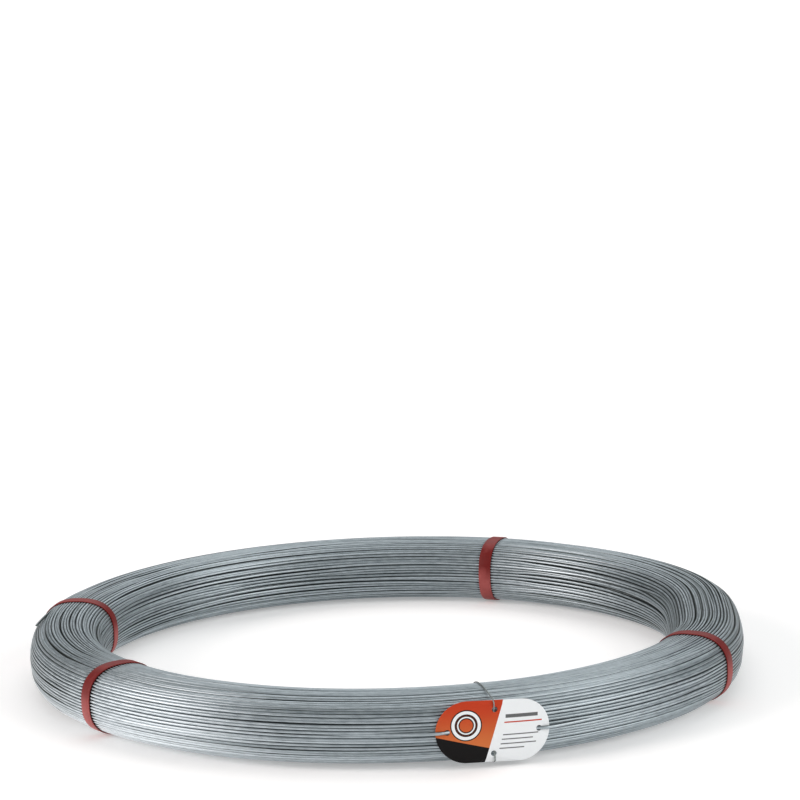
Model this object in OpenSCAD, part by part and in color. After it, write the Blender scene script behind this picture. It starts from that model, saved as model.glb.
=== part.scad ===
// Coil of galvanised oval wire, lying flat, with its straps and its tag.
// Millimetres. The coil's axis is Z, and the floor it lies on is z = 0.

/* [Coil] */
// Outside diameter of the wound bundle
coil_od = 700; // [500:5:900]
// Width of the bundle, from its bore to its outside
bundle_w = 72; // [50:1:110]
// Height of the bundle
bundle_h = 63; // [56:1:100]
// Squareness of the bundle's section, where 2 is an ellipse
bundle_square = 2.5; // [2:0.1:4]

/* [Wire] */
// Wide side of the oval wire
wire_w = 3; // [2:0.1:5]
// Narrow side of the oval wire
wire_t = 2.4; // [1.6:0.1:4]
// How far one turn beds into the next
turn_bed = 0.1; // [0.05:0.01:0.3]

/* [Straps] */
// Width of a strap
strap_w = 13; // [8:0.5:25]
// Thickness of a strap
strap_t = 1; // [0.5:0.1:2]
// Room between the turns' crowns and a strap
strap_clear = 0.3; // [0.15:0.05:1]
// Place of the front left strap round the coil, in degrees
strap_front_left_az = 217.6; // [200:0.1:240]
// Place of the front right strap round the coil, in degrees
strap_front_right_az = 333.6; // [310:0.1:350]
// Place of the back left strap round the coil, in degrees
strap_back_left_az = 168.8; // [140:0.1:190]
// Place of the back right strap round the coil, in degrees
strap_back_right_az = 68.6; // [40:0.1:110]

/* [Tag] */
// Length of the tag, round the coil
label_l = 103; // [80:1:140]
// Height of the tag
label_h = 55; // [40:1:56]
// Thickness of the tag
label_t = 0.8; // [0.5:0.1:2]
// Room between the tag's ends and the turns' crowns
label_clear = 0.3; // [0.15:0.05:1]
// Place of the tag's middle round the coil, in degrees
label_az = 284.4; // [265:0.1:300]
// How far the tag hangs askew, with its right end lower, in degrees
label_skew = 2.5; // [0:0.5:5]
// Diameter of the tag's holes
label_hole_d = 5; // [4:0.5:7]
// Distance of the end holes from the tag's round ends
end_hole_inset = 10; // [6:0.5:20]
// Distance of the tie's holes from the tag's long edges
tie_hole_inset = 8; // [5:0.5:12]

/* [Tie wire] */
// Diameter of the tie wire
tie_d = 1.2; // [0.8:0.1:1.2]
// Room between the tie wire and what it lies on
tie_clear = 0.1; // [0.05:0.01:0.1]

/* [Hidden] */

ring_fn = 180;
// A turn's crown has a flat on its top, as the rolled oval wire has
crown_sides = 12;
tie_sides = 8;
// Steps round the section: for measuring its length, and for the flats of a strap or tie
fine_steps = 720;
band_steps = 72;
// Reach of a cutter past what it cuts
over = 1;

half_w = bundle_w / 2;
half_h = bundle_h / 2;
coil_r = coil_od / 2;
ring_r = coil_r - half_w;

// The section's outline is a superellipse. Its angle runs from 0 at the outside over the top.
function signed_power(v, e) = sign(v) * pow(abs(v), e);
function unit(v) = v / norm(v);
function on_section(t) = [
    half_w * signed_power(cos(t), 2 / bundle_square),
    half_h * signed_power(sin(t), 2 / bundle_square)
];
function outward(t) = let (p = on_section(t)) unit([
    signed_power(p.x / half_w, bundle_square - 1) / half_w,
    signed_power(p.y / half_h, bundle_square - 1) / half_h
]);
function off_section(t, room) = on_section(t) + room * outward(t);
// Half steps put one flat edge across the top and one across the bottom
function outline(room) = [
    for (i = [0.5 : band_steps]) off_section(i * 360 / band_steps, room)
];

// The arc over the oval wire's two edges and its top, which a crown follows
crown_r = (wire_w * wire_w + wire_t * wire_t) / (4 * wire_t);
function crown_line(i) = off_section(i * 360 / fine_steps, -crown_r);
crown_steps = [for (i = [1 : fine_steps]) norm(crown_line(i) - crown_line(i - 1))];
crown_lengths = [
    for (i = 0, length = 0;
         i <= fine_steps;
         length = length + (i < fine_steps ? crown_steps[i] : 0), i = i + 1)
        [length, i * 360 / fine_steps]
];
crown_length = crown_lengths[fine_steps][0];
turns = round(crown_length / (wire_w - turn_bed));
crown_turns = [for (i = [0 : turns - 1]) lookup(i * crown_length / turns, crown_lengths)];

// The coil lies on its straps, which have a flat across the bottom
strap_bottom = min([for (p = outline(strap_clear + strap_t)) p.y]);
mid_z = -strap_bottom;

// The tie passes behind the tag's middle, so the tag bows out there and its ends lie on the turns
tie_r = tie_d / 2;
label_back = coil_r + 2 * tie_clear + tie_d;
label_front = label_back + label_t;
label_end_x = sqrt(pow(coil_r + label_clear, 2) - pow(label_l / 2, 2));
label_sag = label_back - label_end_x;
bow_r = (pow(label_l / 2, 2) + pow(label_sag, 2)) / (2 * label_sag);
end_hole_y = label_l / 2 - end_hole_inset;
tie_hole_z = label_h / 2 - tie_hole_inset;

// The tie's route round the section, in the plane of the tag's middle
tie_room = tie_clear + tie_r;
tie_front = label_front - ring_r + tie_room;
tie_back = label_back - ring_r - tie_room;
tie_edge = [tie_front, label_h / 2 / cos(label_skew) + tie_room];
// The tie slants through a hole over its chord in this plane, which the tag's skew shortens
tie_pass_z = tie_hole_z * cos(label_skew);
tie_slant = sqrt(pow(label_hole_d / 2, 2) - pow(tie_hole_z * sin(label_skew), 2));
function upside_down(p) = [p.x, -p.y];
// It leaves the bundle where the tag's edge comes into sight
function hides(t, p) = outward(t) * (p - off_section(t, tie_room)) <= 0;
tie_bundle = [
    for (i = [0.5 : band_steps])
        let (t = i * 360 / band_steps)
            if (hides(t, tie_edge) && hides(t, upside_down(tie_edge))) off_section(t, tie_room)
];
tie_hole_out = [tie_front, tie_pass_z + tie_slant];
tie_hole_in = [tie_back, tie_pass_z - tie_slant];
tie_route = concat(
    tie_bundle,
    [for (p = [tie_edge, tie_hole_out, tie_hole_in]) upside_down(p)],
    [tie_hole_in, tie_hole_out, tie_edge]
);

// One turn's crown, with its flat on the section's outline
module crown(t) {
    half_side = 180 / crown_sides;
    facing = outward(t);
    translate(off_section(t, -crown_r))
        rotate(atan2(facing.y, facing.x) + half_side)
            circle(r = crown_r / cos(half_side), $fn = crown_sides);
}

// The wound turns: a ring whose section is a core with one crown for each turn that shows
module wire_coil() {
    color([0.50, 0.54, 0.56])
        translate([0, 0, mid_z])
            rotate_extrude($fn = ring_fn)
                translate([ring_r, 0]) {
                    polygon([for (t = crown_turns) off_section(t, -crown_r)]);
                    for (t = crown_turns)
                        crown(t);
                }
}

// A flat band round the bundle, drawn tight over the turns
module strap(azimuth) {
    color([0.66, 0.25, 0.23])
        rotate(azimuth)
            translate([ring_r, 0, mid_z])
                rotate([90, 0, 0])
                    linear_extrude(strap_w, center = true)
                        difference() {
                            polygon(outline(strap_clear + strap_t));
                            polygon(outline(strap_clear));
                        }
}

// The tag's face: a long plate with round ends, two end holes and the tie's two holes
module label_face() {
    straight = label_l - label_h;
    difference() {
        union() {
            square([straight, label_h], center = true);
            for (side = [-1, 1])
                translate([side * straight / 2, 0])
                    circle(d = label_h, $fn = 96);
        }
        for (side = [-1, 1]) {
            translate([side * end_hole_y, 0])
                circle(d = label_hole_d, $fn = 32);
            translate([0, side * tie_hole_z])
                circle(d = label_hole_d, $fn = 32);
        }
    }
}

// The tag: its face cut out of a thin bowed sheet
module label() {
    sheet_h = label_h + 2 * over;
    color([0.90, 0.90, 0.92])
        rotate(label_az)
            translate([0, 0, mid_z])
                rotate([-label_skew, 0, 0])
                    intersection() {
                        translate([label_back - bow_r, 0, -sheet_h / 2])
                            difference() {
                                cylinder(r = bow_r + label_t, h = sheet_h, $fn = ring_fn);
                                translate([0, 0, -over])
                                    cylinder(r = bow_r, h = sheet_h + 2 * over, $fn = ring_fn);
                            }
                        translate([label_end_x - over, 0, 0])
                            rotate([90, 0, 90])
                                linear_extrude(label_sag + label_t + 2 * over)
                                    label_face();
                    }
}

// The tie wire: a round wire swept along its closed route
module label_tie() {
    count = len(tie_route);
    rings = [
        for (i = [0 : count - 1])
            let (
                here = tie_route[i],
                ahead = unit(tie_route[(i + 1) % count] - here),
                behind = unit(here - tie_route[(i + count - 1) % count]),
                along = unit(ahead + behind),
                mitre = tie_r / (along * ahead),
                side = [along.y, -along.x]
            )
                for (k = [0.5 : tie_sides])
                    let (
                        a = k * 360 / tie_sides,
                        p = here + mitre * cos(a) * side
                    )
                        [ring_r + p.x, tie_r * sin(a), p.y]
    ];
    sides = [
        for (i = [0 : count - 1], k = [0 : tie_sides - 1])
            let (next = (i + 1) % count, over_k = (k + 1) % tie_sides)
                [
                    i * tie_sides + k, next * tie_sides + k,
                    next * tie_sides + over_k, i * tie_sides + over_k
                ]
    ];
    color([0.36, 0.39, 0.40])
        rotate(label_az)
            translate([0, 0, mid_z])
                polyhedron(points = rings, faces = sides);
}

wire_coil();
strap(strap_front_left_az);  // strap_front_left
strap(strap_front_right_az);  // strap_front_right
strap(strap_back_left_az);  // strap_back_left
strap(strap_back_right_az);  // strap_back_right
label();
label_tie();
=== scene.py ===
"""Coil of galvanised oval wire lying flat: its wound turns, straps, tag and tie wire, on a plain stage.

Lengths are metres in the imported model's frame. Z is the coil's axis, and z = 0 is the floor.
"""

import math

import bmesh
import bpy
import numpy as np
from bpy.props import FloatProperty, FloatVectorProperty, IntProperty, PointerProperty
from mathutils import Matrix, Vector
from mathutils.geometry import delaunay_2d_cdt


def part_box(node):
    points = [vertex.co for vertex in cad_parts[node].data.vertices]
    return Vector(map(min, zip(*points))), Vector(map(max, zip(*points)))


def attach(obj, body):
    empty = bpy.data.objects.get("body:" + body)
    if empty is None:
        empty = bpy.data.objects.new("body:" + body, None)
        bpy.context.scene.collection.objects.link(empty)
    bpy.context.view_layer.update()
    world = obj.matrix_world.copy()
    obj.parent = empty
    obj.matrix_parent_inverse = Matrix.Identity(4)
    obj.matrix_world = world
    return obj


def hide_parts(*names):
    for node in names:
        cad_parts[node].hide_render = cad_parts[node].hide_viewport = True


bl_info = {
    "name": "Coil of galvanised wire",
    "version": (1, 0, 0),
    "blender": (4, 5, 0),
    "location": "View3D > Sidebar > Wire coil",
    "description": "Winds, straps and tags a lying coil of oval wire",
    "category": "Object",
}

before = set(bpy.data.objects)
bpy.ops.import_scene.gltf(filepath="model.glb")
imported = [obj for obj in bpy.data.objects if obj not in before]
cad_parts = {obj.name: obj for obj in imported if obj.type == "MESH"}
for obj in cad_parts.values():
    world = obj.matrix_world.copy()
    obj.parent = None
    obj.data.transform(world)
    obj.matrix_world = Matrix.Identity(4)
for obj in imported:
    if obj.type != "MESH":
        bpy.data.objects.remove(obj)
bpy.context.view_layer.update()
COIL_LOW, COIL_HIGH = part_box("wire_coil")
STRAPS = ("strap_front_left", "strap_front_right", "strap_back_left", "strap_back_right")


def bore_radius_of(node):
    """Smallest distance of a node's vertices from the coil's axis."""
    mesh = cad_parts[node].data
    places = np.empty(len(mesh.vertices) * 3, np.float32)
    mesh.vertices.foreach_get("co", places)
    return float(np.hypot(places[0::3], places[1::3]).min())


def azimuth_of(node):
    """Place of a node's middle round the coil's axis, in radians."""
    low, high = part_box(node)
    return math.atan2(low.y + high.y, low.x + high.x)


# What a user can change

def length_property(name, description, default):
    return FloatProperty(name=name, description=description, default=default, unit="LENGTH")


def angle_property(name, description, degrees):
    return FloatProperty(name=name, description=description, default=math.radians(degrees), subtype="ANGLE")


def colour_property(name, description, *default):
    return FloatVectorProperty(
        name=name, description=description, default=default, subtype="COLOR", min=0.0, max=1.0)


class CoilProperties(bpy.types.PropertyGroup):
    """The wound bundle and its wire."""

    outer_radius: length_property("Outer radius", "From the axis to the outermost turn", COIL_HIGH.x)
    bore_radius: length_property(
        "Bore radius", "From the axis to the innermost turn", bore_radius_of("wire_coil"))
    bottom: length_property("Bottom", "Height of the lowest turn above the floor", COIL_LOW.z)
    top: length_property("Top", "Height of the highest turn above the floor", COIL_HIGH.z)
    squareness: FloatProperty(
        name="Squareness", description="Power of the section's superellipse, 2 for an ellipse", default=2.5)
    wire_width: length_property("Wire width", "Wide side of the oval wire", 0.003)
    wire_thickness: length_property("Wire thickness", "Narrow side of the oval wire", 0.0024)
    turns: IntProperty(
        name="Turns in view", description="Turns that lie side by side round the section", default=74)
    under_turns: IntProperty(
        name="Turns below", description="Turns of the next layer in, seen through the gaps", default=68)
    looseness: FloatProperty(
        name="Looseness", description="How far a turn strays from its place, in turns", default=0.24)
    diving: FloatProperty(
        name="Diving", description="How readily a turn dives below its neighbours", default=0.055)
    slack: length_property("Slack", "How far the bundle swells or sinks between its straps", 0.0006)
    strap_reach: angle_property("Strap reach", "How far round the ring a strap draws the turns in", 12.6)
    flat_depth: length_property(
        "Flat depth", "How far the ring is pressed in where it is out of round", 0.0085)
    flat_azimuth: angle_property("Flat azimuth", "Where the ring is pressed in", -3.0)
    flat_reach: angle_property("Flat reach", "Angle over which the ring is pressed in", 15.0)
    flush_azimuth: angle_property("Flush azimuth", "Where the turns lie quite flush", 232.0)
    half_flush_azimuth: angle_property("Half flush azimuth", "Where the turns lie nearly flush", 303.0)
    seed: IntProperty(name="Seed", description="Which of the many ways the turns happen to lie", default=7)
    dark_zinc: colour_property("Dark zinc", "The darker turns", 0.220, 0.259, 0.278)
    pale_zinc: colour_property("Pale zinc", "The paler turns", 0.448, 0.507, 0.540)
    # Painted shade: the colour of the gaps between turns
    gap_shade: colour_property("Grime", "What lies in the gaps between turns", 0.045, 0.058, 0.056)
    # Painted shadow: the colour of the gaps beside a strap
    shadow: colour_property("Shadow", "The gaps beside a strap", 0.004, 0.005, 0.005)
    # Painted shade: the colour of the bundle's core
    core: colour_property("Core", "The depth of the bundle", 0.02, 0.024, 0.023)


class StrapProperties(bpy.types.PropertyGroup):
    """The flat bands round the bundle."""

    width: length_property("Width", "Width of a strap", 0.013)
    thickness: length_property("Thickness", "Thickness of a strap", 0.001)
    room: length_property("Room", "Room between the turns and a strap", 0.0001)
    # Painted light and shade with wear: the red is deeper over the shoulders and as new, paler low on the
    # sides and where worn
    new_and_shaded_red: colour_property("Deep red", "Where a strap is as new", 0.150, 0.0085, 0.0075)
    worn_and_lit_red: colour_property("Rubbed red", "Where a strap is rubbed", 0.380, 0.088, 0.083)


class TagProperties(bpy.types.PropertyGroup):
    """The tag and the wire that ties it on."""

    length: length_property("Length", "Length of the tag", 0.103)
    height: length_property("Height", "Height of the tag", 0.055)
    thickness: length_property("Thickness", "Thickness of the card", 0.0008)
    hole: length_property("Hole", "Diameter of the holes", 0.005)
    end_inset: length_property("End inset", "Distance of the end holes from the round ends", 0.010)
    tie_inset: length_property("Tie inset", "Distance of the tie's holes from the long edges", 0.008)
    end_clearance: length_property("End clearance", "Room between the tag's ends and the turns", 0.0003)
    skew: angle_property("Skew", "How far the tag hangs askew, with its right end lower", 2.5)
    white: colour_property("White", "The card", 0.89, 0.925, 0.945)
    black: colour_property("Black", "The dark print", 0.004, 0.0035, 0.0035)
    orange: colour_property("Orange", "The coloured print", 0.54, 0.050, 0.015)
    glow: colour_property("Glow", "The coloured print at its palest", 0.66, 0.19, 0.055)
    tie_diameter: length_property("Tie diameter", "Diameter of the tie wire", 0.0012)
    clearance: length_property("Clearance", "Room round the tie wire", 0.0001)
    dark_tie: colour_property("Dark tie", "The tie wire where it is grimy", 0.13, 0.15, 0.145)
    pale_tie: colour_property("Pale tie", "The tie wire where it is clean", 0.34, 0.37, 0.37)


class StageProperties(bpy.types.PropertyGroup):
    """The camera, the lights and the floor."""

    camera_place: FloatVectorProperty(
        name="Camera place", description="Where the camera stands", subtype="TRANSLATION",
        default=(0.0, -2.89604, 0.76021))
    camera_turn: FloatVectorProperty(
        name="Camera turn", description="XYZ Euler angles of the camera", subtype="EULER",
        default=(1.402302, 0.025937, -0.009716))
    focal_length: FloatProperty(
        name="Focal length", description="On a sensor 36 mm wide", default=137.385, unit="CAMERA")
    floor_size: length_property("Floor size", "Side of the square floor", 120.0)
    floor_paint: colour_property("Floor paint", "The floor", 0.86, 0.86, 0.86)
    sky: colour_property("Sky", "Light from all round", 0.27, 0.28, 0.285)


# Nodes

# Levels between which most of Blender's noise lies
NOISE_LEVELS = (0.3, 0.7)


class Board:
    """A node tree to add nodes to."""

    def __init__(self, tree):
        self.tree = tree

    def node(self, kind, settings=None, inputs=None, output=0):
        """Add a node, set it up, fill its sockets with values or links, and give one of its outputs."""
        made = self.tree.nodes.new(kind)
        for name, value in (settings or {}).items():
            setattr(made, name, value)
        for key, value in (inputs or {}).items():
            socket = socket_of(made.inputs, key)
            if isinstance(value, Link):
                self.tree.links.new(value.socket, socket)
            else:
                socket.default_value = value
        return Link(self.tree, socket_of(made.outputs, output)) if made.outputs else None

    def vector(self, x, y, z):
        """A vector of three values or links."""
        return self.node("ShaderNodeCombineXYZ", inputs={"X": x, "Y": y, "Z": z})

    def maths(self, operation, *values):
        """A Math node."""
        return self.node("ShaderNodeMath", {"operation": operation}, dict(enumerate(values)))

    def ramp(self, value, low, high, from_low, from_high, smooth=True):
        """Map a value between two limits onto another range, and hold it there."""
        return self.node(
            "ShaderNodeMapRange", {"interpolation_type": "SMOOTHSTEP" if smooth else "LINEAR"},
            {"Value": value, "From Min": from_low, "From Max": from_high, "To Min": low, "To Max": high})

    def noise(self, place, scale=1.0, detail=2.0, shift=0.0):
        """Noise of about 0.5 on average, where shift moves to another part of it."""
        return self.node(
            "ShaderNodeTexNoise", {"noise_dimensions": "4D"},
            {"Vector": place, "W": shift, "Scale": scale, "Detail": detail})

    def spread(self, noise, low, high, smooth=False):
        """Map what noise mostly covers onto another range."""
        return self.ramp(noise, low, high, *NOISE_LEVELS, smooth)

    def attribute(self, name, output="Fac"):
        """A value stored on the mesh."""
        return self.node("ShaderNodeAttribute", {"attribute_name": name}, output=output)

    def mix(self, factor, low, high):
        """A colour between two others."""
        return self.node(
            "ShaderNodeMix", {"data_type": "RGBA"}, {"Factor": factor, "A": opaque(low), "B": opaque(high)})


class Link(Board):
    """An output socket, on which Python's operators work through Math nodes."""

    def __init__(self, tree, socket):
        super().__init__(tree)
        self.socket = socket

    def output(self, key):
        """Another output of the same node."""
        return Link(self.tree, socket_of(self.socket.node.outputs, key))

    def split(self):
        """The three parts of a vector."""
        parts = self.node("ShaderNodeSeparateXYZ", inputs={0: self})
        return parts, parts.output("Y"), parts.output("Z")

    def __add__(self, other):
        return self.maths("ADD", self, other)

    def __sub__(self, other):
        return self.maths("SUBTRACT", self, other)

    def __rsub__(self, other):
        return self.maths("SUBTRACT", other, self)

    def __mul__(self, other):
        return self.maths("MULTIPLY", self, other)

    def __truediv__(self, other):
        return self.maths("DIVIDE", self, other)

    def __rtruediv__(self, other):
        return self.maths("DIVIDE", other, self)

    def __pow__(self, other):
        return self.maths("POWER", self, other)

    def __neg__(self):
        return self.maths("MULTIPLY", self, -1.0)

    def __abs__(self):
        return self.maths("ABSOLUTE", self)

    __radd__ = __add__
    __rmul__ = __mul__


def socket_of(sockets, key):
    """A socket in use, by its name or its place."""
    shown = [socket for socket in sockets if socket.enabled]
    if isinstance(key, int):
        return shown[key]
    return next(socket for socket in shown if socket.name == key)


def opaque(colour):
    """A colour with its alpha, or a link as it is."""
    return colour if isinstance(colour, Link) else (*colour, 1.0)


# The wound turns

TURN_INPUTS = {
    "Turns": "Int", "Points per turn": "Int", "Sides": "Int",
    "Ring radius": "Float", "Middle height": "Float", "Half width": "Float", "Half height": "Float",
    "Squareness": "Float", "Wire width": "Float", "Wire thickness": "Float",
    "Depth": "Float", "Looseness": "Float", "Diving": "Float", "Slack": "Float",
    "Strap 1": "Float", "Strap 2": "Float", "Strap 3": "Float", "Strap 4": "Float",
    "Strap half angle": "Float", "Strap reach": "Float",
    "Flat depth": "Float", "Flat azimuth": "Float", "Flat reach": "Float",
    "Flush azimuth": "Float", "Half flush azimuth": "Float",
    "Seed": "Float", "First turn": "Int", "Last turn": "Int", "Material": "Material",
}

# Noise that moves the turns: waves round the ring, step from turn to turn, and lane
DIVE_NOISE = (0.9, 9.7, 11.0)
PLAY_NOISE = (0.8, 3.3, 23.0)
LOW_NOISE = (0.9, 5.1, 37.0)
SLACK_NOISE = (0.7, 0.045, 41.0)
TILT_NOISE = (0.8, 6.1, 53.0)

# Depth of a dive and of a turn that lies low, in wire thicknesses, and the most that a turn tilts
DIVE_DEPTH = 0.9
LOW_DEPTH = 0.3
MOST_TILT = 0.25
# Levels of the noise between which a turn goes down into a dive, less its readiness to dive, or lies low
DIVE_LEVELS = (0.70, 0.80)
LOW_LEVELS = (0.35, 0.75)
# How far the turns beside a dive close up over it, by their place beside it
CLOSING = ((1, 0.44), (2, 0.28), (3, 0.16), (4, 0.08))
# How free the turns are to stray at the ring's front and back, and how much freer at its left and right
FREEDOM = 0.8
END_FREEDOM = 0.6
# How far lying flush holds the turns, and the share of their looseness that they always keep
FLUSH_HOLD = 0.7
LEAST_PLAY = 0.3
# Stretches where the turns lie flush: the input for its middle, how flush it gets, and how far it reaches
# to either side, first in all and then at its flushest, in degrees
FLUSH_STRETCHES = (("Flush azimuth", 1.0, 21.6, 9.9), ("Half flush azimuth", 0.85, 25.8, 14.1))
# Share of the section's outline that lies before the first turn, and the outline's points
FIRST_SHARE = 0.875
OUTLINE_POINTS = 360


def turns_tree():
    """Tree that lays turns side by side round the bundle's section and skins them with the wire's oval."""
    tree = bpy.data.node_groups.new("Wound turns", "GeometryNodeTree")
    for name, kind in TURN_INPUTS.items():
        tree.interface.new_socket(name, in_out="INPUT", socket_type="NodeSocket" + kind)
    tree.interface.new_socket("Geometry", in_out="OUTPUT", socket_type="NodeSocketGeometry")
    given = tree.nodes.new("NodeGroupInput")
    size = {name: Link(tree, given.outputs[name]) for name in TURN_INPUTS}
    board = Board(tree)

    # One circle of points for each turn; a point's turn and its angle follow from its index
    places = board.node("GeometryNodePoints", inputs={"Count": size["Turns"]})
    rings = board.node("GeometryNodeInstanceOnPoints", inputs={
        "Points": places, "Instance": circle(board, size["Points per turn"])})
    rings = board.node("GeometryNodeRealizeInstances", inputs={"Geometry": rings})
    index = board.node("GeometryNodeInputIndex")
    turn = board.maths("FLOOR", (index + 0.5) / size["Points per turn"])
    angle = (index - turn * size["Points per turn"]) * (2 * math.pi) / size["Points per turn"]
    east = board.maths("COSINE", angle)
    north = board.maths("SINE", angle)

    def wander(noise, beside=0):
        """Noise that runs on smoothly round a turn, of this turn or of one some places beside it."""
        waves, step, lane = noise
        which = board.maths("FLOORED_MODULO", turn + beside, size["Turns"])
        place = board.vector(east * waves, north * waves, which * step)
        return board.noise(place, detail=0.0, shift=size["Seed"] + lane)

    # The turns are free to stray, most at the ring's left and right, less where they lie flush and not at
    # all at a strap
    held = strap_hold(board, size, angle)
    flush = flushness(board, size, angle)
    free = (1.0 - held) * (1.0 - FLUSH_HOLD * flush) * (FREEDOM + END_FREEDOM * east ** 2.0)

    # Here and there a turn dives below its neighbours, which close up over it
    def diving(beside=0):
        """How far a turn dives, from 0 to 1."""
        start, end = (level - size["Diving"] for level in DIVE_LEVELS)
        return free * board.ramp(wander(DIVE_NOISE, beside), 0.0, 1.0, start, end)

    dive = diving()
    closing = 0.0
    for beside, shift in CLOSING:
        closing = closing + (diving(beside) - diving(-beside)) * shift

    # Place of each turn along the section's outline
    play = board.spread(wander(PLAY_NOISE), -1.0, 1.0) * size["Looseness"]
    play = play * (LEAST_PLAY + (1.0 - LEAST_PLAY) * free)
    share = board.maths("FRACT", (turn + 0.5 + play + closing) / size["Turns"] + FIRST_SHARE)
    on_outline = board.node(
        "GeometryNodeSampleCurve", {"mode": "FACTOR", "data_type": "FLOAT"},
        {"Curves": section_outline(board, size, index), "Factor": share}, "Position")
    section_x, _, section_z = on_outline.split()
    tangent_x, _, tangent_z = on_outline.output("Tangent").split()
    facing_x, facing_z = tangent_z, -tangent_x

    # Each turn lies with its crown on the outline, less where it dives, lies low or the bundle is slack
    low = board.ramp(wander(LOW_NOISE), 0.0, LOW_DEPTH, *LOW_LEVELS) * (1.0 - held)
    slack = board.spread(wander(SLACK_NOISE), -1.0, 1.0, smooth=True) * size["Slack"] * free
    sink = size["Wire thickness"] * (0.5 + DIVE_DEPTH * dive + low) + size["Depth"] - slack
    from_flat = board.maths("COSINE", angle - size["Flat azimuth"])
    pressed = board.maths("EXPONENT", (from_flat - 1.0) * 2.0 / size["Flat reach"] ** 2.0)
    radius = size["Ring radius"] + section_x - facing_x * sink - size["Flat depth"] * pressed
    height = size["Middle height"] + section_z - facing_z * sink
    rings = board.node("GeometryNodeSetPosition", inputs={
        "Geometry": rings, "Position": board.vector(radius * east, radius * north, height)})
    # How deep a turn lies, which the finish darkens as painted shade
    buried = board.maths("MINIMUM", dive + size["Depth"] / size["Wire thickness"], 1.0)
    rings = stored(board, rings, "lane", "FLOAT_VECTOR", board.vector(east, north, turn))
    rings = stored(board, rings, "sunk", "FLOAT", buried)
    rings = stored(board, rings, "flush", "FLOAT", flush)
    rings = board.node("GeometryNodeSetCurveNormal", {"mode": "FREE"}, {
        "Curve": rings, "Normal": board.vector(facing_x * east, facing_x * north, facing_z)})
    tilt = board.spread(wander(TILT_NOISE), -MOST_TILT, MOST_TILT, smooth=True) * free
    rings = board.node("GeometryNodeSetCurveTilt", inputs={"Curve": rings, "Tilt": tilt})

    # Only some of the turns are wanted in one piece
    before = board.node(
        "FunctionNodeCompare", {"data_type": "FLOAT", "operation": "LESS_THAN"},
        {"A": turn + 0.5, "B": size["First turn"]})
    after = board.node(
        "FunctionNodeCompare", {"data_type": "FLOAT", "operation": "GREATER_THAN"},
        {"A": turn + 0.5, "B": size["Last turn"]})
    unwanted = board.node("FunctionNodeBooleanMath", {"operation": "OR"}, {0: before, 1: after})
    rings = board.node(
        "GeometryNodeDeleteGeometry", {"domain": "POINT"}, {"Geometry": rings, "Selection": unwanted})

    wires = board.node("GeometryNodeCurveToMesh", inputs={
        "Curve": rings, "Profile Curve": wire_oval(board, size, index)})
    wires = board.node("GeometryNodeSetShadeSmooth", inputs={"Geometry": wires})
    wires = board.node("GeometryNodeRealizeInstances", inputs={"Geometry": wires})
    wires = board.node("GeometryNodeSetMaterial", inputs={"Geometry": wires, "Material": size["Material"]})
    board.node("NodeGroupOutput", inputs={"Geometry": wires})
    return tree


def circle(board, points):
    """A closed curve of some points, to be given its shape."""
    return board.node("GeometryNodeCurvePrimitiveCircle", {"mode": "RADIUS"}, {"Resolution": points})


def stored(board, geometry, name, kind, value):
    """A geometry with a value kept on its points for the finish."""
    return board.node(
        "GeometryNodeStoreNamedAttribute", {"data_type": kind, "domain": "POINT"},
        {"Geometry": geometry, "Name": name, "Value": value})


def strap_hold(board, size, angle):
    """How far the straps draw the turns in, from 1 under a strap to 0 out of reach."""
    held = 0.0
    for number in range(1, len(STRAPS) + 1):
        apart = board.maths("COSINE", angle - size[f"Strap {number}"])
        reach = board.maths("COSINE", size["Strap reach"])
        under = board.maths("COSINE", size["Strap half angle"])
        held = board.maths("MAXIMUM", held, board.ramp(apart, 0.0, 1.0, reach, under))
    return held


def flushness(board, size, angle):
    """How flush the turns lie, from 0 to 1."""
    flush = 0.0
    for name, most, reach, full in FLUSH_STRETCHES:
        apart = board.maths("COSINE", angle - size[name])
        near = board.ramp(
            apart, 0.0, most, math.cos(math.radians(reach)), math.cos(math.radians(full)))
        flush = board.maths("MAXIMUM", flush, near)
    return flush


def section_outline(board, size, index):
    """The outline of the bundle's section, from the outside over the top."""
    angle = index * (2 * math.pi / OUTLINE_POINTS)
    power = 2.0 / size["Squareness"]

    def stretch(half, wave):
        """A half side of the superellipse times its rounded wave."""
        return half * board.maths("SIGN", wave) * abs(wave) ** power

    across = stretch(size["Half width"], board.maths("COSINE", angle))
    up = stretch(size["Half height"], board.maths("SINE", angle))
    return board.node("GeometryNodeSetPosition", inputs={
        "Geometry": circle(board, OUTLINE_POINTS), "Position": board.vector(across, 0.0, up)})


def wire_oval(board, size, index):
    """The wire's oval, with its wide side along the section's outline."""
    angle = (index + 0.5) * (2 * math.pi) / size["Sides"]
    out = board.maths("SINE", angle)
    side = board.maths("COSINE", angle)
    place = board.vector(size["Wire thickness"] * 0.5 * out, size["Wire width"] * 0.5 * side, 0.0)
    oval_curve = board.node("GeometryNodeSetPosition", inputs={
        "Geometry": circle(board, size["Sides"]), "Position": place})
    return stored(board, oval_curve, "across", "FLOAT_VECTOR", board.vector(side, out, 0.0))


def grow(name, tree, values):
    """A plain mesh piece made by a Geometry Nodes tree."""
    piece = bpy.data.objects.new(name, bpy.data.meshes.new(name + "_start"))
    bpy.context.scene.collection.objects.link(piece)
    modifier = piece.modifiers.new(tree.name, "NODES")
    modifier.node_group = tree
    for socket in tree.interface.items_tree:
        if socket.in_out == "INPUT":
            modifier[socket.identifier] = values[socket.name]
    graph = bpy.context.evaluated_depsgraph_get()
    mesh = bpy.data.meshes.new_from_object(
        piece.evaluated_get(graph), preserve_all_data_layers=True, depsgraph=graph)
    piece.modifiers.clear()
    mesh.name = name
    shape = bmesh.new()
    shape.from_mesh(mesh)
    turn_outward(shape)
    shape.to_mesh(mesh)
    shape.free()
    piece.data = mesh
    return piece


# Shapes

def turn_outward(shape):
    """Turn a closed shape's faces outward."""
    if shape.calc_volume(signed=True) < 0:
        bmesh.ops.reverse_faces(shape, faces=shape.faces)


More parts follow.
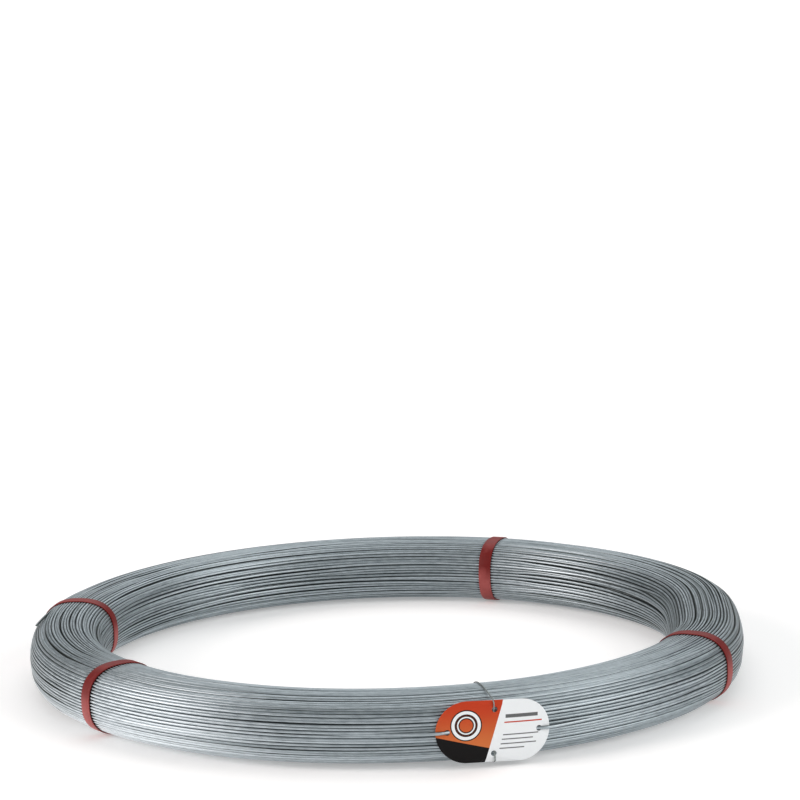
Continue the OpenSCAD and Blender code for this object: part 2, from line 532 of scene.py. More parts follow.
def piece_of(name, shape, finish):
    """A piece made of a closed shape."""
    bmesh.ops.recalc_face_normals(shape, faces=shape.faces)
    turn_outward(shape)
    mesh = bpy.data.meshes.new(name)
    shape.to_mesh(mesh)
    shape.free()
    mesh.materials.append(finish)
    piece = bpy.data.objects.new(name, mesh)
    bpy.context.scene.collection.objects.link(piece)
    return piece


def stand_for(piece, node):
    """Put a piece on the part in place of a CAD node, which is hidden."""
    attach(piece, "root")
    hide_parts(node)


def signed_power(value, power):
    return math.copysign(abs(value) ** power, value)


class Section:
    """The bundle's section, a superellipse. Its angle runs from 0 at the outside over the top."""

    def __init__(self, coil):
        self.half_width = (coil.outer_radius - coil.bore_radius) / 2
        self.half_height = (coil.top - coil.bottom) / 2
        self.ring_radius = (coil.outer_radius + coil.bore_radius) / 2
        self.middle = (coil.top + coil.bottom) / 2
        self.squareness = coil.squareness
        self.flat = coil.flat_depth, coil.flat_azimuth, coil.flat_reach

    def pressed(self, azimuth):
        """How far the ring is pressed in where it is out of round."""
        depth, middle, reach = self.flat
        return depth * math.exp(2 * (math.cos(azimuth - middle) - 1) / reach ** 2)

    def place(self, azimuth, angle, room):
        """A place on the bundle's outline or some room off it, in the frame."""
        radius, height = self.point(angle, room)
        return round_axis(azimuth, radius - self.pressed(azimuth), height)

    def facing(self, angle):
        """Outward direction in the section's plane, as radius and height."""
        power = 2 - 2 / self.squareness
        return Vector((
            signed_power(math.cos(angle), power) / self.half_width,
            signed_power(math.sin(angle), power) / self.half_height)).normalized()

    def point(self, angle, room):
        """Place on the outline or some room off it, as radius from the axis and height above the floor."""
        power = 2 / self.squareness
        on_outline = Vector((
            self.ring_radius + self.half_width * signed_power(math.cos(angle), power),
            self.middle + self.half_height * signed_power(math.sin(angle), power)))
        return on_outline + room * self.facing(angle)


def round_axis(azimuth, radius, height):
    """A place given by its azimuth, radius and height."""
    return Vector((radius * math.cos(azimuth), radius * math.sin(azimuth), height))


def tangent(azimuth):
    """Direction in which the azimuth grows."""
    return Vector((-math.sin(azimuth), math.cos(azimuth), 0.0))


def turned(count, start=0.0):
    """Even angles once round, from a start given in steps."""
    return [2 * math.pi * (k + start) / count for k in range(count)]


# Number by which the finish knows a piece of wire that is none of the wound turns
LONE_TURN = -1.0


def sweep(name, centres, sides, ups, profile, closed, finish):
    """A piece whose profile, a list of offsets along side and up, is carried along a route."""
    shape = bmesh.new()
    lane = shape.verts.layers.float_vector.new("lane")
    across = shape.verts.layers.float_vector.new("across")
    widest = max(abs(beside) for beside, above in profile)
    highest = max(abs(above) for beside, above in profile)
    rings = []
    for centre, side, up in zip(centres, sides, ups):
        ring = [shape.verts.new(centre + side * beside + up * above) for beside, above in profile]
        spot = Vector((centre.x, centre.y)).normalized()
        for vert, (beside, above) in zip(ring, profile):
            vert[lane] = (spot.x, spot.y, LONE_TURN)
            vert[across] = (beside / widest, above / highest, 0.0)
        rings.append(ring)
    skin(shape, rings, closed)
    if not closed:
        shape.faces.new(rings[0])
        shape.faces.new(rings[-1])
    return piece_of(name, shape, finish)


def skin(shape, rings, closed):
    """Join rings of vertices, each to the next, by smooth faces."""
    for here, there in zip(rings, rings[1:] + rings[:1] if closed else rings[1:]):
        for k in range(len(here)):
            shape.faces.new((here[k - 1], here[k], there[k], there[k - 1])).smooth = True


def oval(width, height, count):
    """Outline of an oval as offsets along side and up."""
    return [(width / 2 * math.cos(a), height / 2 * math.sin(a)) for a in turned(count)]


def rounded_bar(width, height, radius, steps=3):
    """Outline of a bar with rounded corners, standing on up = 0, as offsets along side and up."""
    corners = (
        (width / 2 - radius, height - radius, 0), (radius - width / 2, height - radius, 1),
        (radius - width / 2, radius, 2), (width / 2 - radius, radius, 3))
    return [
        (x + radius * math.cos(math.pi / 2 * (quarter + k / steps)),
         y + radius * math.sin(math.pi / 2 * (quarter + k / steps)))
        for x, y, quarter in corners for k in range(steps + 1)]


def route_frames(points, up_hint, closed):
    """Side and up directions along a route, with up kept near a hint."""
    sides, ups = [], []
    count = len(points)
    for i in range(count):
        ahead = points[(i + 1) % count] if closed else points[min(i + 1, count - 1)]
        behind = points[i - 1] if closed else points[max(i - 1, 0)]
        along = (ahead - behind).normalized()
        side = along.cross(up_hint).normalized()
        sides.append(side)
        ups.append(side.cross(along))
    return sides, ups


def smoothed(points, closed, rounds=2):
    """A route with its corners cut, two points for each one in every round."""
    for _ in range(rounds):
        pairs = zip(points, points[1:] + points[:1] if closed else points[1:])
        cut = [p for a, b in pairs for p in (a.lerp(b, 0.25), a.lerp(b, 0.75))]
        points = cut if closed else [points[0]] + cut + [points[-1]]
    return points


# Finishes

def material(name, sockets_of, *settings):
    """A material with one Principled BSDF, whose sockets come from a function of its board and settings."""
    made = bpy.data.materials.new(name)
    made.use_nodes = True
    made.node_tree.nodes.clear()
    board = Board(made.node_tree)
    surface = board.node("ShaderNodeBsdfPrincipled", inputs=sockets_of(board, *settings))
    board.node("ShaderNodeOutputMaterial", inputs={"Surface": surface})
    return made


# Noise on the zinc: waves round the ring, and step from one turn or gap to the next
TONE_WAVES, TONE_STEP = 1.3, 5.7
STREAK_WAVES, STREAK_STEP = 40.0, 3.1
GAP_WAVES, GAP_STEP = 0.9, 4.7
# How fast the streaks change over a wire's height, and their share of its shade, where its tone has the rest
STREAK_CHANGE = 1.5
STREAK_SHARE = 0.4
# Levels of the noise between which the zinc goes from dark to pale, and a gap from faint to bold
SHADE_LEVELS = (0.36, 0.64)
GAP_LEVELS = (0.34, 0.66)
# How high on a turn's flanks painted shade lies in a faint gap, in a bold one and beside a strap, in shares
# of half the wire's thickness, and how softly it ends
FAINT_GAP = 0.18
BOLD_GAP = 0.48
STRAP_SHADOW = 0.86
GAP_SHADE_EDGE = (-0.15, 0.2)
# Painted shade by place: what a gap gains off the ring's front, loses at its back and gains at its right
# end: how much, and between which places from -1 to 1 along that axis
OFF_FRONT = (0.24, -0.9, -0.3)
AT_BACK = (0.08, 0.5, 0.9)
AT_RIGHT = (0.14, 0.75, 0.95)
# How far the painted shade in the gaps fades where the turns lie flush, and how far painted shade covers a
# turn that has sunk
FLUSH_FADE = 0.8
SUNK_SHADE = 0.4


def galvanised(board, coil, strap):
    """Dull zinc: each turn has its own tone, with drawn streaks along it and painted shade in the gaps on
    its flanks.
    """
    east, north, turn = board.attribute("lane", "Vector").split()
    side, crest, _ = board.attribute("across", "Vector").split()

    def along(waves, lane, detail=1.0, shift=0.0):
        """Noise that runs on smoothly round the ring, in a lane of its own."""
        return board.noise(board.vector(east * waves, north * waves, lane), detail=detail, shift=shift)

    tone = along(TONE_WAVES, turn * TONE_STEP)
    streak = along(STREAK_WAVES, turn * STREAK_STEP + crest * STREAK_CHANGE, detail=3.0, shift=5.0)
    shade = tone * (1.0 - STREAK_SHARE) + streak * STREAK_SHARE
    shade = board.ramp(shade, 0.0, 1.0, *SHADE_LEVELS, smooth=False)
    zinc = board.mix(shade, coil.dark_zinc, coil.pale_zinc)

    # The painted shade in the gap on either side of a turn is bold or faint along its way, faintest at the
    # ring's front and boldest at its right end, where shade falls deeper
    gap = turn + board.maths("SIGN", side) * 0.5
    bold = along(GAP_WAVES, gap * GAP_STEP, shift=9.0)
    bold = board.ramp(bold, FAINT_GAP, BOLD_GAP, *GAP_LEVELS, smooth=False)
    bold = bold * (1.0 - FLUSH_FADE * board.attribute("flush"))
    bold = bold + board.ramp(north, 0.0, *OFF_FRONT) - board.ramp(north, 0.0, *AT_BACK)
    bold = bold + board.ramp(east, 0.0, *AT_RIGHT)

    # Beside a strap the gaps are painted black, as shadow
    strap_shade = strap_shadow_reach(board, east, north, strap.width / 2 / coil.outer_radius)
    bold = board.maths("MAXIMUM", bold, STRAP_SHADOW * strap_shade)
    gap_shade = board.mix(strap_shade, coil.gap_shade, coil.shadow)
    # Zinc shows above the painted shade on each flank, and less of it on a sunk turn
    clean_and_unshaded = board.ramp(crest, 0.0, 1.0, *(bold + edge for edge in GAP_SHADE_EDGE))
    clean_and_unshaded = clean_and_unshaded * (1.0 - SUNK_SHADE * board.attribute("sunk"))
    return {
        "Base Color": board.mix(clean_and_unshaded, gap_shade, zinc),
        "Metallic": 0.85,
        "Roughness": board.spread(streak, 0.32, 0.48),
    }


def strap_shadow_reach(board, east, north, half_angle, reach=0.022):
    """How near a place is to a strap's edge, from 1 at the strap to 0 out of reach, for the painted shadow
    beside it.
    """
    strap_shade = 0.0
    for node in STRAPS:
        azimuth = azimuth_of(node)
        off = abs(north * math.cos(azimuth) - east * math.sin(azimuth))
        same_side = board.maths("GREATER_THAN", east * math.cos(azimuth) + north * math.sin(azimuth), 0.0)
        near = board.ramp(off, 1.0, 0.0, half_angle, half_angle + reach, smooth=False)
        strap_shade = board.maths("MAXIMUM", strap_shade, near * same_side)
    return strap_shade ** 0.5


def shaded_core(board, coil):
    """Painted shade: the near-black depth of the bundle, in place of the shaded turns further in."""
    return {"Base Color": opaque(coil.core), "Roughness": 0.8}


# Scales of the noise for a strap's wear and for larger clouds on it
WEAR_SCALE = 120.0
CLOUD_SCALE = 22.0
# How far wear and clouds make the red deeper or paler, and the levels of the noise between which they do
MOTTLE = (-0.2, 0.2)
MOTTLE_LEVELS = (0.38, 0.62)
# Painted light on a strap by height: how much paler it is below and above two shares of the bundle's height,
# on its sides and on its top
SIDE_LIGHT = (0.8, 0.0, 0.39, 0.77)
TOP_LIGHT = (0.0, 0.3, 0.87, 1.03)


def strap_red(board, coil, strap):
    """Matte red plastic with painted light and shade: deep over the bundle's shoulders, paler low on its
    sides and a little on top, with mottled wear.
    """
    place = board.node("ShaderNodeTexCoord", output="Object")
    _, _, height = place.split()
    rise = (height - coil.bottom) / (coil.top - coil.bottom)
    wear = board.noise(place, WEAR_SCALE, detail=4.0)
    cloud = board.noise(place, CLOUD_SCALE, shift=3.0)
    # Painted light: paler low on the sides and a little on top, by height
    height_light = board.ramp(rise, *SIDE_LIGHT) + board.ramp(rise, *TOP_LIGHT)
    shade = height_light + board.ramp(wear * 0.5 + cloud * 0.5, *MOTTLE, *MOTTLE_LEVELS)
    return {
        "Base Color": board.mix(shade, strap.new_and_shaded_red, strap.worn_and_lit_red),
        "Roughness": board.spread(wear, 0.45, 0.62, smooth=True),
        "Specular IOR Level": 0.2,
    }


# The tag's print, in millimetres from its middle
RING_MIDDLE = (-25.0, 6.0)
# Radius and half width of each ring
RINGS = ((11.5, 2.4), (7.4, 1.6))
RING_EDGE = 1.0
# Left, right, middle and height of each ruled line
DARK_LINES = (
    (10.0, 40.0, 13.0, 3.2), (8.0, 41.0, -3.5, 1.0), (7.0, 36.0, -7.5, 1.0),
    (6.0, 39.0, -11.5, 1.0), (5.0, 28.0, -15.5, 1.0))
ORANGE_LINE = (9.0, 44.0, 7.5, 1.2)
# How dark the dark lines are
LINE_INK = 0.85
# Height of the black part's edge over the tag's middle and its fall to the right, and the lean of the edge
# between the coloured part and the white one
BLACK_HEIGHT = -15.5
BLACK_FALL = 0.22
WHITE_LEAN = 0.28
# Heights between which the glow goes over into orange
ORANGE_BLEND = (-20.0, 24.0)
# Softness of the print's edges
PRINT_EDGE = 0.12


def tag_print(board, tag):
    """Plain colour print: an orange and black part with rings, a slanted edge, and ruled lines on white."""
    x, z, _ = board.attribute("print_place", "Vector").split()
    x, z = x * 1000.0, z * 1000.0

    def below(value, limit):
        """1 where a value is below a limit."""
        return board.ramp(value, 1.0, 0.0, limit - PRINT_EDGE, limit + PRINT_EDGE, smooth=False)

    def line(left, right, middle, height):
        """1 on a ruled line."""
        return below(abs(x - (left + right) / 2), (right - left) / 2) * below(abs(z - middle), height / 2)

    colour = board.mix(board.ramp(z, 0.0, 1.0, *ORANGE_BLEND), tag.glow, tag.orange)
    colour = board.mix(below(z + x * BLACK_FALL, BLACK_HEIGHT), colour, tag.black)
    from_ring = board.maths("SQRT", (x - RING_MIDDLE[0]) ** 2.0 + (z - RING_MIDDLE[1]) ** 2.0)
    for radius, half_width in RINGS:
        off = abs(from_ring - radius)
        colour = board.mix(below(off, half_width), colour, tag.black)
        colour = board.mix(below(off, half_width - RING_EDGE), colour, tag.white)
    colour = board.mix(below(x - z * WHITE_LEAN, 0.0), tag.white, colour)
    for dark_line in DARK_LINES:
        colour = board.mix(line(*dark_line) * LINE_INK, colour, tag.black)
    colour = board.mix(line(*ORANGE_LINE), colour, tag.orange)
    return {"Base Color": colour, "Roughness": 0.42, "Specular IOR Level": 0.13}


def tie_steel(board, tag):
    """Thin grimy steel wire."""
    clean_and_unshaded = board.noise(board.node("ShaderNodeTexCoord", output="Object"), scale=300.0, detail=3.0)
    return {
        "Base Color": board.mix(clean_and_unshaded, tag.dark_tie, tag.pale_tie),
        "Metallic": 0.8,
        "Roughness": 0.45,
    }


# How far the floor glows by itself, to the camera and in reflections
FLOOR_GLOW = 0.28
# The painted pool of light on the floor, left of the coil's front, glowing in reflections only: its middle,
# its reach along X and Y, and its colour as a multiple of the floor's own glow
POOL_MIDDLE = (-0.62, -0.30)
POOL_REACH = (0.30, 0.16)
POOL_COLOUR = (19.0, 17.3, 16.7)


def floor_paint(board, stage):
    """Pale paint that looks white, also in reflections, and still takes a shadow.

    A painted pool of light on it shows in reflections alone, and makes the highlight on the coil's front
    left.
    """
    ray = board.node("ShaderNodeLightPath", output="Is Camera Ray")
    mirrored = ray.output("Is Glossy Ray")
    seen = board.maths("MAXIMUM", ray, mirrored)
    seen = board.maths("MAXIMUM", seen, ray.output("Is Transmission Ray"))
    x, y, _ = board.node("ShaderNodeTexCoord", output="Object").split()
    along = (x - POOL_MIDDLE[0]) / POOL_REACH[0]
    across = (y - POOL_MIDDLE[1]) / POOL_REACH[1]
    pool = mirrored * board.maths("EXPONENT", -(along ** 2.0 + across ** 2.0))
    return {
        "Base Color": opaque(stage.floor_paint),
        "Roughness": 0.9,
        "Emission Color": board.vector(*(seen + pool * level for level in POOL_COLOUR)),
        "Emission Strength": FLOOR_GLOW,
    }


# Operators

# Points round a turn and sides of its oval, for the turns in view and for those below
TURN_POINTS, TURN_SIDES = 240, 8
BELOW_POINTS, BELOW_SIDES = 160, 6
# Depth of the layer below and of the core, in wire thicknesses, and what is added to that layer's seed
BELOW_DEPTH = 0.85
CORE_DEPTH = 2.1
BELOW_SEED = 100.0
# Points of the core round the ring and round its section
CORE_POINTS = 160
CORE_SIDES = 48


class WIRECOIL_OT_wind(bpy.types.Operator):
    """Wind the turns round the bundle: the layer in view, the one below it and a dark core"""

    bl_idname = "wirecoil.wind"
    bl_label = "Wind the turns"

    # Wind the turns round the bundle: the layer in view, the one below it and a core in painted shade
    def execute(self, context):
        coil, strap = context.scene.wire_coil, context.scene.wire_coil_strap
        section = Section(coil)
        tree = turns_tree()
        values = {
            "Turns": coil.turns, "Points per turn": TURN_POINTS, "Sides": TURN_SIDES,
            "Ring radius": section.ring_radius, "Middle height": section.middle,
            "Half width": section.half_width, "Half height": section.half_height,
            "Squareness": section.squareness,
            "Wire width": coil.wire_width, "Wire thickness": coil.wire_thickness,
            "Depth": 0.0, "Looseness": coil.looseness, "Diving": coil.diving, "Slack": coil.slack,
            "Strap half angle": strap.width / 2 / coil.outer_radius, "Strap reach": coil.strap_reach,
            "Flat depth": coil.flat_depth, "Flat azimuth": coil.flat_azimuth, "Flat reach": coil.flat_reach,
            "Flush azimuth": coil.flush_azimuth, "Half flush azimuth": coil.half_flush_azimuth,
            "Seed": float(coil.seed), "Material": material("galvanised", galvanised, coil, strap),
        }
        values.update({f"Strap {number}": azimuth_of(node) for number, node in enumerate(STRAPS, 1)})
        parts = ("turns_outside", "turns_top", "turns_bore", "turns_under")
        for part, name in enumerate(parts):
            first = round(part * coil.turns / len(parts))
            last = round((part + 1) * coil.turns / len(parts))
            piece = grow(name, tree, {**values, "First turn": first, "Last turn": last})
            stand_for(piece, "wire_coil")
        below = {
            **values, "Turns": coil.under_turns, "Points per turn": BELOW_POINTS, "Sides": BELOW_SIDES,
            "Depth": coil.wire_thickness * BELOW_DEPTH, "Seed": coil.seed + BELOW_SEED,
            "First turn": 0, "Last turn": coil.under_turns,
        }
        stand_for(grow("turns_below", tree, below), "wire_coil")

        # The core fills the bundle below the two layers, in painted shade
        azimuths = turned(CORE_POINTS)
        profile = [tuple(section.point(t, -CORE_DEPTH * coil.wire_thickness)) for t in turned(CORE_SIDES)]
        core = sweep(
            "bundle_core", [round_axis(a, -section.pressed(a), 0.0) for a in azimuths],
            [round_axis(a, 1.0, 0.0) for a in azimuths], [Vector((0.0, 0.0, 1.0))] * len(azimuths),
            profile, True, material("bundle_core", shaded_core, coil))
        stand_for(core, "wire_coil")
        return {"FINISHED"}


# Points of a strap round the bundle, and the share of its thickness that rounds its edges
STRAP_POINTS = 288
STRAP_ROUNDING = 0.35


class WIRECOIL_OT_strap(bpy.types.Operator):
    """Lay the flat straps round the bundle"""

    bl_idname = "wirecoil.strap"
    bl_label = "Lay the straps"

    def execute(self, context):
        coil, strap = context.scene.wire_coil, context.scene.wire_coil_strap
        section = Section(coil)
        red = material("strap_red", strap_red, coil, strap)
        profile = rounded_bar(strap.width, strap.thickness, strap.thickness * STRAP_ROUNDING)
        around = turned(STRAP_POINTS, 0.5)
        for node in STRAPS:
            azimuth = azimuth_of(node)
            centres = [section.place(azimuth, t, strap.room) for t in around]
            ups = [round_axis(azimuth, *section.facing(t)) for t in around]
            sides = [tangent(azimuth)] * len(around)
            stand_for(sweep(node + "_band", centres, sides, ups, profile, True, red), node)
        return {"FINISHED"}


# Share of the tag's bow that is a fold over its tie, where the rest is an even arc
FOLD_SHARE = 0.3
# Points round the tag's outline and round a hole, and the share of its thickness that is bevelled
TAG_POINTS = 128
HOLE_POINTS = 32
TAG_BEVEL = 0.2
# Distance within which two places on the tag are one
WELD = 1e-7


class TagRoom:
    """Where the tag lies: it bows out over its tie, and its ends lie on the turns."""

    def __init__(self, coil, tag):
        self.azimuth = azimuth_of("label_tie")
        self.middle = (coil.top + coil.bottom) / 2
        self.back = coil.outer_radius + 2 * tag.clearance + tag.tie_diameter
        self.half = tag.length / 2
        end = math.sqrt((coil.outer_radius + tag.end_clearance) ** 2 - self.half ** 2)
        self.sag = self.back - end
        self.bow = (self.half ** 2 + self.sag ** 2) / (2 * self.sag)
        self.skew = tag.skew

    def radius(self, across, depth):
        """Distance from the axis, in the tag's plane, of a place on the bowed and lightly folded card."""
        arc = self.bow - math.sqrt(self.bow ** 2 - across ** 2)
        fold = self.sag * abs(across) / self.half
        return self.back - (1 - FOLD_SHARE) * arc - FOLD_SHARE * fold + depth

    def place(self, across, height, depth):
        """A place on the tag in the frame, from its distance along the tag, height and depth."""
        cos, sin = math.cos(self.skew), math.sin(self.skew)
        outward = round_axis(self.azimuth, 1.0, 0.0)
        return (outward * self.radius(across, depth) + tangent(self.azimuth) * (across * cos + height * sin)
                + Vector((0.0, 0.0, self.middle + height * cos - across * sin)))


class TagFace:
    """The tag's flat face, with its edges drawn back by an inset: a plate with round ends and four holes."""

    def __init__(self, tag, inset):
        self.end_radius = tag.height / 2 - inset
        self.straight = (tag.length - tag.height) / 2
        self.hole_radius = tag.hole / 2 + inset
        along = tag.length / 2 - tag.end_inset
        up = tag.height / 2 - tag.tie_inset
        self.holes = [Vector(place) for place in ((along, 0.0), (-along, 0.0), (0.0, up), (0.0, -up))]

    def loops(self):
        """The outline and the holes, each as a loop of places."""
        outline = [
            Vector((math.copysign(self.straight, math.cos(a)) + self.end_radius * math.cos(a),
                    self.end_radius * math.sin(a)))
            for a in turned(TAG_POINTS, 0.5)]
        rim = [
            Vector((self.hole_radius * math.cos(a), self.hole_radius * math.sin(a)))
            for a in turned(HOLE_POINTS)]
        return [outline] + [[hole + place for place in rim] for hole in self.holes]

    def covers(self, place, margin=0.0):
        """Whether a place is on the face, by a margin from its edges."""
        from_spine = Vector((max(abs(place.x) - self.straight, 0.0), place.y)).length
        from_hole = min((place - hole).length for hole in self.holes)
        return from_spine < self.end_radius - margin and from_hole > self.hole_radius + margin

    def filled(self, columns=52, rows=12, margin=0.0008):
        """Places and triangles that fill the face, and the number of each place of the loops among them."""
        places, borders = [], []
        for loop in self.loops():
            start = len(places)
            borders += [(start + k, start + (k + 1) % len(loop)) for k in range(len(loop))]
            places += loop
        reach = self.straight + self.end_radius
        grid = [
            Vector((reach * (2 * column / columns - 1), self.end_radius * (2 * row / rows - 1)))
            for column in range(columns + 1) for row in range(rows + 1)]
        places += [place for place in grid if self.covers(place, margin)]
        places, _, triangles, origins, _, _ = delaunay_2d_cdt(places, borders, [], 0, WELD)
        triangles = [
            corners for corners in triangles
            if self.covers(sum((places[k] for k in corners), Vector((0.0, 0.0))) / len(corners))]
        number = {origin: k for k, group in enumerate(origins) for origin in group}
        return places, triangles, number


class WIRECOIL_OT_tag(bpy.types.Operator):
    """Cut the tag with its holes and bow it over the turns"""

    bl_idname = "wirecoil.tag"
    bl_label = "Hang the tag"

    def execute(self, context):
        coil, tag = context.scene.wire_coil, context.scene.wire_coil_tag
        room = TagRoom(coil, tag)
        bevel = tag.thickness * TAG_BEVEL
        places, triangles, number = TagFace(tag, bevel).filled()
        shape = bmesh.new()
        printed = shape.verts.layers.float_vector.new("print_place")

        def layer(flat_places, depth):
            """Vertices at one depth of the card, which keep their place on the flat tag."""
            verts = []
            for place in flat_places:
                vert = shape.verts.new(room.place(place.x, place.y, depth))
                vert[printed] = (place.x, place.y, depth)
                verts.append(vert)
            return verts

        back, front = layer(places, 0.0), layer(places, tag.thickness)
        for corners in triangles:
            shape.faces.new([back[k] for k in corners])
            shape.faces.new([front[k] for k in corners])
        start = 0
        for loop in TagFace(tag, 0.0).loops():
            own = [number[start + k] for k in range(len(loop))]
            start += len(loop)
            skin(shape, [
                [back[k] for k in own], layer(loop, bevel),
                layer(loop, tag.thickness - bevel), [front[k] for k in own]], False)
        piece = piece_of("tag_card", shape, material("tag_print", tag_print, tag))
        stand_for(piece, "label")
        return {"FINISHED"}


# Points of the tie round the bundle, before its corners are cut, and its sides
TIE_POINTS = 96
TIE_SIDES = 10


class WIRECOIL_OT_tie(bpy.types.Operator):
    """Tie the tag on with a thin wire round the bundle"""

    bl_idname = "wirecoil.tie"
    bl_label = "Tie the tag"

    def execute(self, context):
        coil, tag = context.scene.wire_coil, context.scene.wire_coil_tag
        section, room = Section(coil), TagRoom(coil, tag)
        off = tag.clearance + tag.tie_diameter / 2
        front = room.back + tag.thickness + off
        behind = room.back - off
        edge_z = tag.height / 2 / math.cos(tag.skew) + off
        hole_z = (tag.height / 2 - tag.tie_inset) * math.cos(tag.skew)
        slant = math.sqrt((tag.hole / 2) ** 2 - (hole_z * math.tan(tag.skew)) ** 2)
        edges = [Vector((front, room.middle + side * edge_z)) for side in (1, -1)]

        def hides(t, place):
            """Whether the bundle's outline there lies between the wire and a place."""
            return section.facing(t).dot(place - section.point(t, off)) <= 0

        # Round the bundle, then down the tag's front, in at its lower hole, up behind it and out again
        route = [
            section.point(t, off) for t in turned(TIE_POINTS, 0.5)
            if all(hides(t, place) for place in edges)]
        crossing = [(front, edge_z), (front, hole_z + slant), (behind, hole_z - slant)]
        route += [Vector((r, room.middle - z)) for r, z in crossing]
        route += [Vector((r, room.middle + z)) for r, z in reversed(crossing)]
        points = [round_axis(room.azimuth, *p) for p in smoothed(route, True)]
        sides, ups = route_frames(points, tangent(room.azimuth), True)
        piece = sweep(
            "tag_tie", points, sides, ups, oval(tag.tie_diameter, tag.tie_diameter, TIE_SIDES), True,
            material("tie_steel", tie_steel, tag))
        stand_for(piece, "label_tie")
        return {"FINISHED"}


# The free end comes from under the back left strap and springs off the upper outside:
# azimuth and angle in the section, in degrees, and lift off the bundle in millimetres
FREE_END = (
    (166.0, 60.0, -2.6), (170.0, 59.0, -1.8), (173.0, 57.5, -0.8), (176.0, 56.0, 0.2),
    (179.0, 53.0, 1.2), (181.5, 50.5, 2.2), (183.3, 48.0, 3.2))
FREE_END_FACING = (176.0, 53.0)
# A turn rises over each end of the tag, goes in at its end hole and on behind it:
# distance from the tag's middle and lift off the bundle, in millimetres
TAG_TURN = (
    (170, -3.4), (140, -2.6), (115, -1.7), (95, -0.7), (80, 0.4), (68, 1.6), (60, 2.4), (53, 2.75),
    (48, 2.6), (44, 1.6), (40, 0.2), (35, -1.3), (27, -2.4))
# Sides of the free wire's oval
FREE_SIDES = 12


class WIRECOIL_OT_free_wire(bpy.types.Operator):
    """Bend the wire's free end off the bundle, and the turn on which the tag's ends are threaded"""

    bl_idname = "wirecoil.free_wire"
    bl_label = "Bend the free wire"

    def execute(self, context):
        coil, tag = context.scene.wire_coil, context.scene.wire_coil_tag
        section, room = Section(coil), TagRoom(coil, tag)
        zinc = bpy.data.materials["galvanised"]
        profile = oval(coil.wire_width, coil.wire_thickness, FREE_SIDES)

        def lay(name, stations, outward):
            """A length of wire through some stations, with its narrow side outward."""
            points = smoothed(stations, False)
            sides, ups = route_frames(points, outward, False)
            stand_for(sweep(name, points, sides, ups, profile, False, zinc), "wire_coil")

        azimuth, angle = map(math.radians, FREE_END_FACING)
        stations = [section.place(math.radians(a), math.radians(t), lift / 1000) for a, t, lift in FREE_END]
        lay("wire_end", stations, round_axis(azimuth, *section.facing(angle)))
        for name, end in (("tag_turn_left", -1), ("tag_turn_right", 1)):
            drop = end * (tag.length / 2 - tag.end_inset) * math.sin(tag.skew)
            stations = [
                round_axis(room.azimuth + end * along / 1000 / coil.outer_radius,
                           coil.outer_radius + lift / 1000, room.middle - drop)
                for along, lift in TAG_TURN]
            lay(name, stations, round_axis(room.azimuth, 1.0, 0.0))
        return {"FINISHED"}


# Direction toward each lamp, its strength, its spread in degrees and its colour
LAMPS = {
    "key": ((-0.90, -0.22, 0.36), 1.90, 36, (1.0, 0.89, 0.85)),
    "fill": ((0.84, -0.37, 0.40), 1.40, 48, (1.0, 0.97, 0.945)),
    "top": ((0.06, 0.58, 0.79), 1.08, 60, (1.0, 1.0, 1.0)),
    "front": ((0.0, -0.78, 0.62), 0.29, 60, (1.0, 1.0, 1.0)),
}


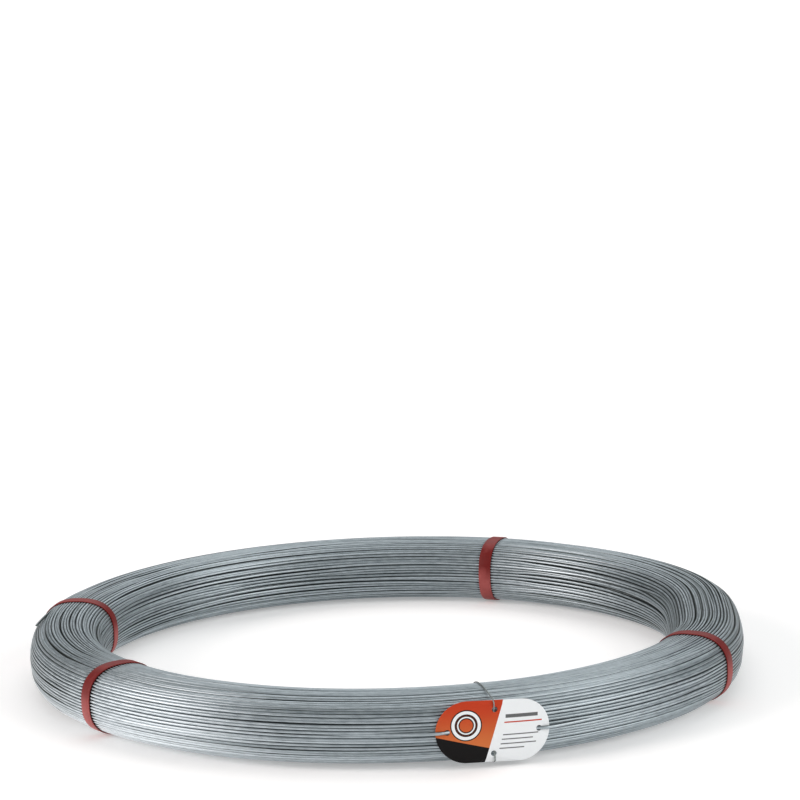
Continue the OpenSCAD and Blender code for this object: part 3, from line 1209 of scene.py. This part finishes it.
class WIRECOIL_OT_stage(bpy.types.Operator):
    """Set up the floor, the lights and the camera"""

    bl_idname = "wirecoil.stage"
    bl_label = "Set the stage"

    def execute(self, context):
        scene = context.scene
        stage = scene.wire_coil_stage
        half = stage.floor_size / 2
        mesh = bpy.data.meshes.new("floor")
        mesh.from_pydata(
            [(-half, -half, 0.0), (half, -half, 0.0), (half, half, 0.0), (-half, half, 0.0)],
            [], [(0, 1, 2, 3)])
        mesh.materials.append(material("floor_paint", floor_paint, stage))
        floor = bpy.data.objects.new("floor", mesh)
        scene.collection.objects.link(floor)

        world = bpy.data.worlds.new("studio")
        world.use_nodes = True
        world.node_tree.nodes["Background"].inputs["Color"].default_value = opaque(stage.sky)
        scene.world = world
        for name, (toward, strength, spread, colour) in LAMPS.items():
            lamp = bpy.data.lights.new(name, "SUN")
            lamp.energy = strength
            lamp.angle = math.radians(spread)
            lamp.color = colour
            holder = bpy.data.objects.new(name, lamp)
            holder.rotation_euler = Vector(toward).to_track_quat("Z", "Y").to_euler()
            scene.collection.objects.link(holder)

        lens = bpy.data.cameras.new("camera")
        lens.lens = stage.focal_length
        lens.sensor_width = 36.0
        lens.clip_end = 1000.0
        camera = bpy.data.objects.new("camera", lens)
        camera.location = stage.camera_place
        camera.rotation_euler = stage.camera_turn
        scene.collection.objects.link(camera)
        scene.camera = camera
        scene.view_settings.view_transform = "Standard"
        return {"FINISHED"}


class WIRECOIL_PT_sidebar(bpy.types.Panel):
    """Sizes, colours and steps of the wire coil"""

    bl_idname = "WIRECOIL_PT_sidebar"
    bl_label = "Wire coil"
    bl_space_type = "VIEW_3D"
    bl_region_type = "UI"
    bl_category = "Wire coil"

    def draw(self, context):
        for settings, _, operators in GROUPS:
            group = getattr(context.scene, settings)
            column = self.layout.column()
            for name in group.__annotations__:
                column.prop(group, name)
            for operator in operators:
                column.operator(operator.bl_idname)


GROUPS = (
    ("wire_coil", CoilProperties, (WIRECOIL_OT_wind,)),
    ("wire_coil_strap", StrapProperties, (WIRECOIL_OT_strap,)),
    ("wire_coil_tag", TagProperties, (WIRECOIL_OT_tag, WIRECOIL_OT_tie, WIRECOIL_OT_free_wire)),
    ("wire_coil_stage", StageProperties, (WIRECOIL_OT_stage,)),
)
CLASSES = (
    *(properties for _, properties, _ in GROUPS),
    *(operator for _, _, operators in GROUPS for operator in operators),
    WIRECOIL_PT_sidebar,
)


def register():
    for cls in CLASSES:
        bpy.utils.register_class(cls)
    for settings, properties, _ in GROUPS:
        setattr(bpy.types.Scene, settings, PointerProperty(type=properties))


def unregister():
    for settings, _, _ in GROUPS:
        delattr(bpy.types.Scene, settings)
    for cls in reversed(CLASSES):
        bpy.utils.unregister_class(cls)


def main():
    register()
    bpy.ops.wirecoil.wind()
    bpy.ops.wirecoil.strap()
    bpy.ops.wirecoil.tag()
    bpy.ops.wirecoil.tie()
    bpy.ops.wirecoil.free_wire()
    bpy.ops.wirecoil.stage()


if __name__ == "__main__":
    main()
